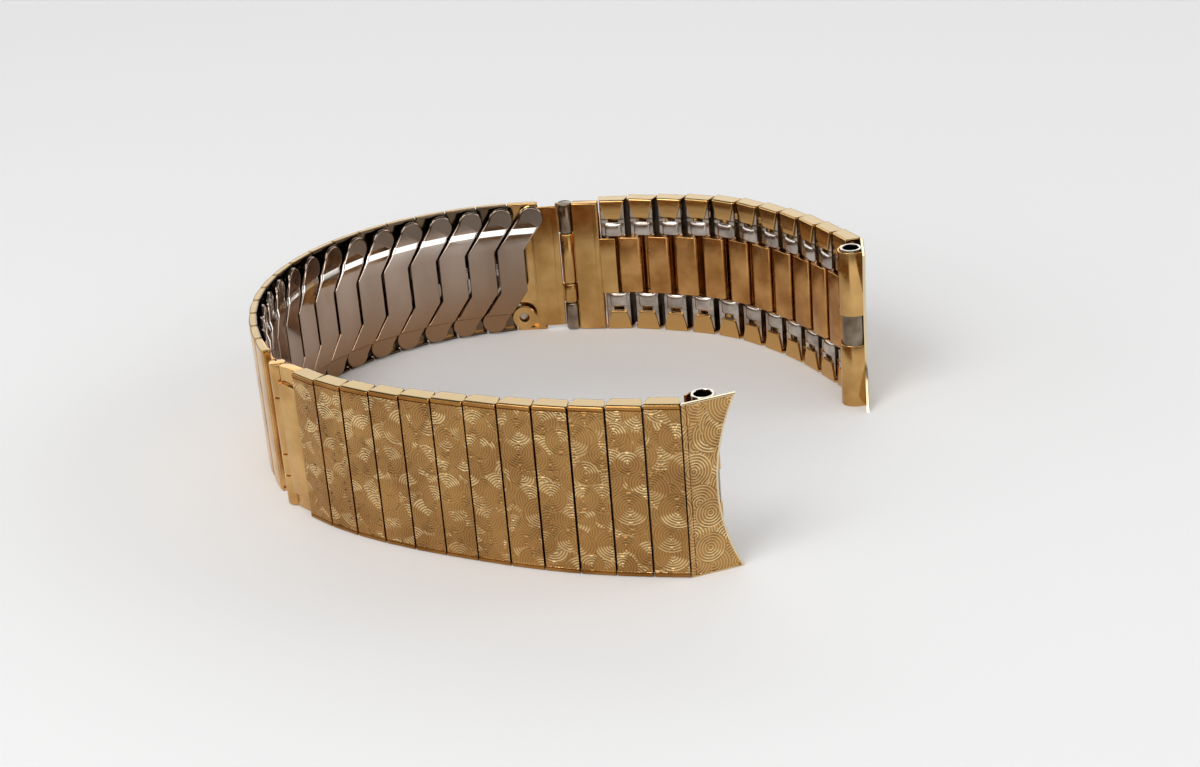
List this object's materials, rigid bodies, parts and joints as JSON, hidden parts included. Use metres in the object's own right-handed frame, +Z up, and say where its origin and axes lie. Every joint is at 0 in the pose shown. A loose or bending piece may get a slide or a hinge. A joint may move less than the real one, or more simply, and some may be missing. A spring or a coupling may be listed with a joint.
{
  "type": "stretch watch bracelet",
  "caption": "Gold stretch bracelet for a wristwatch: engraved fixed links hinged to a sprung section of narrow shells with crossed steel levers, and end pieces with spring bar tubes.",
  "frame": {"origin": "centre of the curled band on the surface that its lower edges stand on", "axes": "+Z up along the pins and spring bar tubes, +X right and +Y away from the viewer, with the gap between the two end pieces towards +X"},
  "size_m": [0.0656, 0.0644, 0.018],
  "materials": {
    "gold_plate": "polished",
    "steel": "polished",
    "spring_steel": "satin"
  },
  "bodies": {
    "plate_left": {"plate_left": "gold_plate"},
    "shell_14": {"shell_14": "gold_plate"},
    "shell_13": {"shell_13": "gold_plate"},
    "spring_13": {"spring_13": "spring_steel"},
    "shell_12": {"shell_12": "gold_plate"},
    "shell_11": {"shell_11": "gold_plate"},
    "shell_10": {"shell_10": "gold_plate"},
    "spring_10": {"spring_10": "spring_steel"},
    "shell_9": {"shell_9": "gold_plate"},
    "shell_8": {"shell_8": "gold_plate"},
    "shell_7": {"shell_7": "gold_plate"},
    "spring_7": {"spring_7": "spring_steel"},
    "shell_6": {"shell_6": "gold_plate"},
    "shell_5": {"shell_5": "gold_plate"},
    "shell_4": {"shell_4": "gold_plate"},
    "spring_4": {"spring_4": "spring_steel"},
    "shell_3": {"shell_3": "gold_plate"},
    "shell_2": {"shell_2": "gold_plate"},
    "shell_1": {"shell_1": "gold_plate"},
    "plate_right": {"plate_right": "gold_plate"},
    "lever_1": {"lever_1": "steel"},
    "lever_2": {"lever_2": "steel"},
    "lever_3": {"lever_3": "steel"},
    "lever_4": {"lever_4": "steel"},
    "lever_5": {"lever_5": "steel"},
    "lever_6": {"lever_6": "steel"},
    "lever_7": {"lever_7": "steel"},
    "lever_8": {"lever_8": "steel"},
    "lever_9": {"lever_9": "steel"},
    "lever_10": {"lever_10": "steel"},
    "lever_11": {"lever_11": "steel"},
    "lever_12": {"lever_12": "steel"},
    "lever_13": {"lever_13": "steel"},
    "lever_14": {"lever_14": "steel"},
    "lever_15": {"lever_15": "steel"},
    "back_1": {"back_1": "gold_plate"},
    "back_2": {"back_2": "gold_plate"},
    "back_3": {"back_3": "gold_plate"},
    "back_4": {"back_4": "gold_plate"},
    "back_5": {"back_5": "gold_plate"},
    "back_6": {"back_6": "gold_plate"},
    "back_7": {"back_7": "gold_plate"},
    "back_8": {"back_8": "gold_plate"},
    "back_9": {"back_9": "gold_plate"},
    "back_10": {"back_10": "gold_plate"},
    "back_11": {"back_11": "gold_plate"},
    "end_rear": {"end_rear": "gold_plate"},
    "front_1": {"front_1": "gold_plate"},
    "front_2": {"front_2": "gold_plate"},
    "front_3": {"front_3": "gold_plate"},
    "front_4": {"front_4": "gold_plate"},
    "front_5": {"front_5": "gold_plate"},
    "front_6": {"front_6": "gold_plate"},
    "front_7": {"front_7": "gold_plate"},
    "front_8": {"front_8": "gold_plate"},
    "front_9": {"front_9": "gold_plate"},
    "front_10": {"front_10": "gold_plate"},
    "front_11": {"front_11": "gold_plate"},
    "front_12": {"front_12": "gold_plate"},
    "end_front": {"end_front": "gold_plate"}
  },
  "joints": [
    {"name": "stretch_15", "type": "slide", "parent": "plate_left", "child": "shell_14", "axis": [-0.2924, 0.9563, 0], "range_m": [0, 0.002], "stiffness_N_per_m": 1000},
    {"name": "stretch_14", "type": "slide", "parent": "shell_14", "child": "spring_13", "axis": [-0.2036, 0.979, 0], "range_m": [0, 0.002], "stiffness_N_per_m": 1000},
    {"name": "bend_14", "type": "hinge", "parent": "spring_13", "child": "shell_13", "pos_m": [-0.03123, -0.00044, 0.008], "axis": [0, 0, 1], "range_deg": [-3, 5.5]},
    {"name": "stretch_13", "type": "slide", "parent": "shell_13", "child": "shell_12", "axis": [-0.1002, 0.995, 0], "range_m": [0, 0.002], "stiffness_N_per_m": 1000},
    {"name": "stretch_12", "type": "slide", "parent": "shell_12", "child": "shell_11", "axis": [0.0218, 0.9998, 0], "range_m": [0, 0.002], "stiffness_N_per_m": 1000},
    {"name": "stretch_11", "type": "slide", "parent": "shell_11", "child": "spring_10", "axis": [0.1564, 0.9877, 0], "range_m": [0, 0.002], "stiffness_N_per_m": 1000},
    {"name": "bend_11", "type": "hinge", "parent": "spring_10", "child": "shell_10", "pos_m": [-0.03163, 0.0103, 0.008], "axis": [0, 0, 1], "range_deg": [-3, 8]},
    {"name": "stretch_10", "type": "slide", "parent": "shell_10", "child": "shell_9", "axis": [0.2965, 0.955, 0], "range_m": [0, 0.002], "stiffness_N_per_m": 1000},
    {"name": "stretch_9", "type": "slide", "parent": "shell_9", "child": "shell_8", "axis": [0.4344, 0.9007, 0], "range_m": [0, 0.002], "stiffness_N_per_m": 1000},
    {"name": "stretch_8", "type": "slide", "parent": "shell_8", "child": "spring_7", "axis": [0.5664, 0.8241, 0], "range_m": [0, 0.002], "stiffness_N_per_m": 1000},
    {"name": "bend_8", "type": "hinge", "parent": "spring_7", "child": "shell_7", "pos_m": [-0.0277, 0.02027, 0.008], "axis": [0, 0, 1], "range_deg": [-3, 9]},
    {"name": "stretch_7", "type": "slide", "parent": "shell_7", "child": "shell_6", "axis": [0.6852, 0.7284, 0], "range_m": [0, 0.002], "stiffness_N_per_m": 1000},
    {"name": "stretch_6", "type": "slide", "parent": "shell_6", "child": "shell_5", "axis": [0.7853, 0.6191, 0], "range_m": [0, 0.002], "stiffness_N_per_m": 1000},
    {"name": "stretch_5", "type": "slide", "parent": "shell_5", "child": "spring_4", "axis": [0.8638, 0.5038, 0], "range_m": [0, 0.002], "stiffness_N_per_m": 1000},
    {"name": "bend_5", "type": "hinge", "parent": "spring_4", "child": "shell_4", "pos_m": [-0.0198, 0.02752, 0.008], "axis": [0, 0, 1], "range_deg": [-3, 7.5]},
    {"name": "stretch_4", "type": "slide", "parent": "shell_4", "child": "shell_3", "axis": [0.9222, 0.3867, 0], "range_m": [0, 0.002], "stiffness_N_per_m": 1000},
    {"name": "stretch_3", "type": "slide", "parent": "shell_3", "child": "shell_2", "axis": [0.9636, 0.2672, 0], "range_m": [0, 0.002], "stiffness_N_per_m": 1000},
    {"name": "stretch_2", "type": "slide", "parent": "shell_2", "child": "shell_1", "axis": [0.9897, 0.1435, 0], "range_m": [0, 0.002], "stiffness_N_per_m": 1000},
    {"name": "stretch_1", "type": "slide", "parent": "shell_1", "child": "plate_right", "axis": [0.9998, 0.0218, 0], "range_m": [0, 0.002], "stiffness_N_per_m": 1000},
    {"name": "lever_1_turn", "type": "hinge", "parent": "shell_1", "child": "lever_1", "pos_m": [-0.00678, 0.03131, 0.0059], "axis": [-0.0218, 0.9998, 0], "range_deg": [0, 15]},
    {"name": "lever_2_turn", "type": "hinge", "parent": "shell_2", "child": "lever_2", "pos_m": [-0.01036, 0.03094, 0.0059], "axis": [-0.1435, 0.9897, 0], "range_deg": [0, 15]},
    {"name": "lever_3_turn", "type": "hinge", "parent": "shell_3", "child": "lever_3", "pos_m": [-0.01387, 0.0301, 0.0059], "axis": [-0.2672, 0.9636, 0], "range_deg": [0, 15]},
    {"name": "lever_4_turn", "type": "hinge", "parent": "shell_4", "child": "lever_4", "pos_m": [-0.01724, 0.02884, 0.0059], "axis": [-0.3867, 0.9222, 0], "range_deg": [0, 15]},
    {"name": "lever_5_turn", "type": "hinge", "parent": "shell_5", "child": "lever_5", "pos_m": [-0.02042, 0.02715, 0.0059], "axis": [-0.5038, 0.8638, 0], "range_deg": [0, 15]},
    {"name": "lever_6_turn", "type": "hinge", "parent": "shell_6", "child": "lever_6", "pos_m": [-0.02335, 0.02506, 0.0059], "axis": [-0.6191, 0.7853, 0], "range_deg": [0, 15]},
    {"name": "lever_7_turn", "type": "hinge", "parent": "shell_7", "child": "lever_7", "pos_m": [-0.02593, 0.02255, 0.0059], "axis": [-0.7284, 0.6852, 0], "range_deg": [0, 15]},
    {"name": "lever_8_turn", "type": "hinge", "parent": "shell_8", "child": "lever_8", "pos_m": [-0.02811, 0.01968, 0.0059], "axis": [-0.8241, 0.5664, 0], "range_deg": [0, 15]},
    {"name": "lever_9_turn", "type": "hinge", "parent": "shell_9", "child": "lever_9", "pos_m": [-0.02982, 0.01651, 0.0059], "axis": [-0.9007, 0.4344, 0], "range_deg": [0, 15]},
    {"name": "lever_10_turn", "type": "hinge", "parent": "shell_10", "child": "lever_10", "pos_m": [-0.03104, 0.01312, 0.0059], "axis": [-0.955, 0.2965, 0], "range_deg": [0, 15]},
    {"name": "lever_11_turn", "type": "hinge", "parent": "shell_11", "child": "lever_11", "pos_m": [-0.03175, 0.00959, 0.0059], "axis": [-0.9877, 0.1564, 0], "range_deg": [0, 15]},
    {"name": "lever_12_turn", "type": "hinge", "parent": "shell_12", "child": "lever_12", "pos_m": [-0.03196, 0.00599, 0.0059], "axis": [-0.9998, 0.0218, 0], "range_deg": [0, 15]},
    {"name": "lever_13_turn", "type": "hinge", "parent": "shell_13", "child": "lever_13", "pos_m": [-0.03172, 0.0024, 0.0059], "axis": [-0.995, -0.1002, 0], "range_deg": [0, 15]},
    {"name": "lever_14_turn", "type": "hinge", "parent": "shell_14", "child": "lever_14", "pos_m": [-0.03108, -0.00114, 0.0059], "axis": [-0.979, -0.2036, 0], "range_deg": [0, 15]},
    {"name": "lever_15_turn", "type": "hinge", "parent": "plate_left", "child": "lever_15", "pos_m": [-0.03011, -0.00461, 0.0059], "axis": [-0.9563, -0.2924, 0], "range_deg": [0, 15]},
    {"name": "back_barrel", "type": "hinge", "parent": "plate_right", "child": "back_1", "pos_m": [0.00068, 0.03109, 0.008], "axis": [0, 0, 1], "range_deg": [-5, 6.5]},
    {"name": "back_bend_2", "type": "hinge", "parent": "back_1", "child": "back_2", "pos_m": [0.00887, 0.02972, 0.008], "axis": [0, 0, 1], "range_deg": [-5, 9]},
    {"name": "back_bend_3", "type": "hinge", "parent": "back_2", "child": "back_3", "pos_m": [0.01219, 0.02862, 0.008], "axis": [0, 0, 1], "range_deg": [-5, 3.5]},
    {"name": "back_bend_4", "type": "hinge", "parent": "back_3", "child": "back_4", "pos_m": [0.01543, 0.0273, 0.008], "axis": [0, 0, 1], "range_deg": [-5, 4.5]},
    {"name": "back_bend_5", "type": "hinge", "parent": "back_4", "child": "back_5", "pos_m": [0.0185, 0.02564, 0.008], "axis": [0, 0, 1], "range_deg": [-5, 11]},
    {"name": "back_bend_6", "type": "hinge", "parent": "back_5", "child": "back_6", "pos_m": [0.02122, 0.02344, 0.008], "axis": [0, 0, 1], "range_deg": [-5, 10]},
    {"name": "back_bend_7", "type": "hinge", "parent": "back_6", "child": "back_7", "pos_m": [0.02357, 0.02085, 0.008], "axis": [0, 0, 1], "range_deg": [-5, 5]},
    {"name": "back_bend_8", "type": "hinge", "parent": "back_7", "child": "back_8", "pos_m": [0.02568, 0.01805, 0.008], "axis": [0, 0, 1], "range_deg": [-5, 5.5]},
    {"name": "back_bend_9", "type": "hinge", "parent": "back_8", "child": "back_9", "pos_m": [0.02751, 0.01507, 0.008], "axis": [0, 0, 1], "range_deg": [-5, 5.5]},
    {"name": "back_bend_10", "type": "hinge", "parent": "back_9", "child": "back_10", "pos_m": [0.0291, 0.01196, 0.008], "axis": [0, 0, 1], "range_deg": [-5, 2]},
    {"name": "back_bend_11", "type": "hinge", "parent": "back_10", "child": "back_11", "pos_m": [0.0306, 0.00879, 0.008], "axis": [0, 0, 1], "range_deg": [-5, 0.5]},
    {"name": "end_rear_swing", "type": "hinge", "parent": "back_11", "child": "end_rear", "pos_m": [0.03132, 0.00725, 0.008], "axis": [0, 0, 1], "range_deg": [-20, 0]},
    {"name": "front_barrel", "type": "hinge", "parent": "plate_left", "child": "front_1", "pos_m": [-0.02807, -0.01029, 0.008], "axis": [0, 0, 1], "range_deg": [-24, 5]},
    {"name": "front_bend_2", "type": "hinge", "parent": "front_1", "child": "front_2", "pos_m": [-0.02228, -0.01623, 0.008], "axis": [0, 0, 1], "range_deg": [-7, 5]},
    {"name": "front_bend_3", "type": "hinge", "parent": "front_2", "child": "front_3", "pos_m": [-0.01953, -0.0184, 0.008], "axis": [0, 0, 1], "range_deg": [-5, 5]},
    {"name": "front_bend_4", "type": "hinge", "parent": "front_3", "child": "front_4", "pos_m": [-0.01662, -0.02033, 0.008], "axis": [0, 0, 1], "range_deg": [-3.5, 5]},
    {"name": "front_bend_5", "type": "hinge", "parent": "front_4", "child": "front_5", "pos_m": [-0.01359, -0.02209, 0.008], "axis": [0, 0, 1], "range_deg": [-3, 5]},
    {"name": "front_bend_6", "type": "hinge", "parent": "front_5", "child": "front_6", "pos_m": [-0.01049, -0.02371, 0.008], "axis": [0, 0, 1], "range_deg": [-2, 5]},
    {"name": "front_bend_7", "type": "hinge", "parent": "front_6", "child": "front_7", "pos_m": [-0.00734, -0.02523, 0.008], "axis": [0, 0, 1], "range_deg": [-1, 5]},
    {"name": "front_bend_8", "type": "hinge", "parent": "front_7", "child": "front_8", "pos_m": [-0.00415, -0.02667, 0.008], "axis": [0, 0, 1], "range_deg": [-2.5, 5]},
    {"name": "front_bend_9", "type": "hinge", "parent": "front_8", "child": "front_9", "pos_m": [-0.00089, -0.02796, 0.008], "axis": [0, 0, 1], "range_deg": [-3.5, 5]},
    {"name": "front_bend_10", "type": "hinge", "parent": "front_9", "child": "front_10", "pos_m": [0.00244, -0.02904, 0.008], "axis": [0, 0, 1], "range_deg": [-4, 5]},
    {"name": "front_bend_11", "type": "hinge", "parent": "front_10", "child": "front_11", "pos_m": [0.00583, -0.0299, 0.008], "axis": [0, 0, 1], "range_deg": [-3, 5]},
    {"name": "front_bend_12", "type": "hinge", "parent": "front_11", "child": "front_12", "pos_m": [0.00926, -0.03059, 0.008], "axis": [0, 0, 1], "range_deg": [-2.5, 5]},
    {"name": "end_front_swing", "type": "hinge", "parent": "front_12", "child": "end_front", "pos_m": [0.01094, -0.03087, 0.008], "axis": [0, 0, 1], "range_deg": [0, 20]}
  ],
  "couplings": [
    {"joint": "stretch_14", "follows": "stretch_15", "ratio": 1},
    {"joint": "stretch_13", "follows": "stretch_15", "ratio": 1},
    {"joint": "stretch_12", "follows": "stretch_15", "ratio": 1},
    {"joint": "stretch_11", "follows": "stretch_15", "ratio": 1},
    {"joint": "stretch_10", "follows": "stretch_15", "ratio": 1},
    {"joint": "stretch_9", "follows": "stretch_15", "ratio": 1},
    {"joint": "stretch_8", "follows": "stretch_15", "ratio": 1},
    {"joint": "stretch_7", "follows": "stretch_15", "ratio": 1},
    {"joint": "stretch_6", "follows": "stretch_15", "ratio": 1},
    {"joint": "stretch_5", "follows": "stretch_15", "ratio": 1},
    {"joint": "stretch_4", "follows": "stretch_15", "ratio": 1},
    {"joint": "stretch_3", "follows": "stretch_15", "ratio": 1},
    {"joint": "stretch_2", "follows": "stretch_15", "ratio": 1},
    {"joint": "stretch_1", "follows": "stretch_15", "ratio": 1},
    {"joint": "lever_1_turn", "follows": "stretch_15", "rad_per_m": 127.4},
    {"joint": "lever_2_turn", "follows": "stretch_15", "rad_per_m": 127.4},
    {"joint": "lever_3_turn", "follows": "stretch_15", "rad_per_m": 127.4},
    {"joint": "lever_4_turn", "follows": "stretch_15", "rad_per_m": 127.4},
    {"joint": "lever_5_turn", "follows": "stretch_15", "rad_per_m": 127.4},
    {"joint": "lever_6_turn", "follows": "stretch_15", "rad_per_m": 127.4},
    {"joint": "lever_7_turn", "follows": "stretch_15", "rad_per_m": 127.4},
    {"joint": "lever_8_turn", "follows": "stretch_15", "rad_per_m": 127.4},
    {"joint": "lever_9_turn", "follows": "stretch_15", "rad_per_m": 127.4},
    {"joint": "lever_10_turn", "follows": "stretch_15", "rad_per_m": 127.4},
    {"joint": "lever_11_turn", "follows": "stretch_15", "rad_per_m": 127.4},
    {"joint": "lever_12_turn", "follows": "stretch_15", "rad_per_m": 127.4},
    {"joint": "lever_13_turn", "follows": "stretch_15", "rad_per_m": 127.4},
    {"joint": "lever_14_turn", "follows": "stretch_15", "rad_per_m": 127.4},
    {"joint": "lever_15_turn", "follows": "stretch_15", "rad_per_m": 127.4}
  ]
}
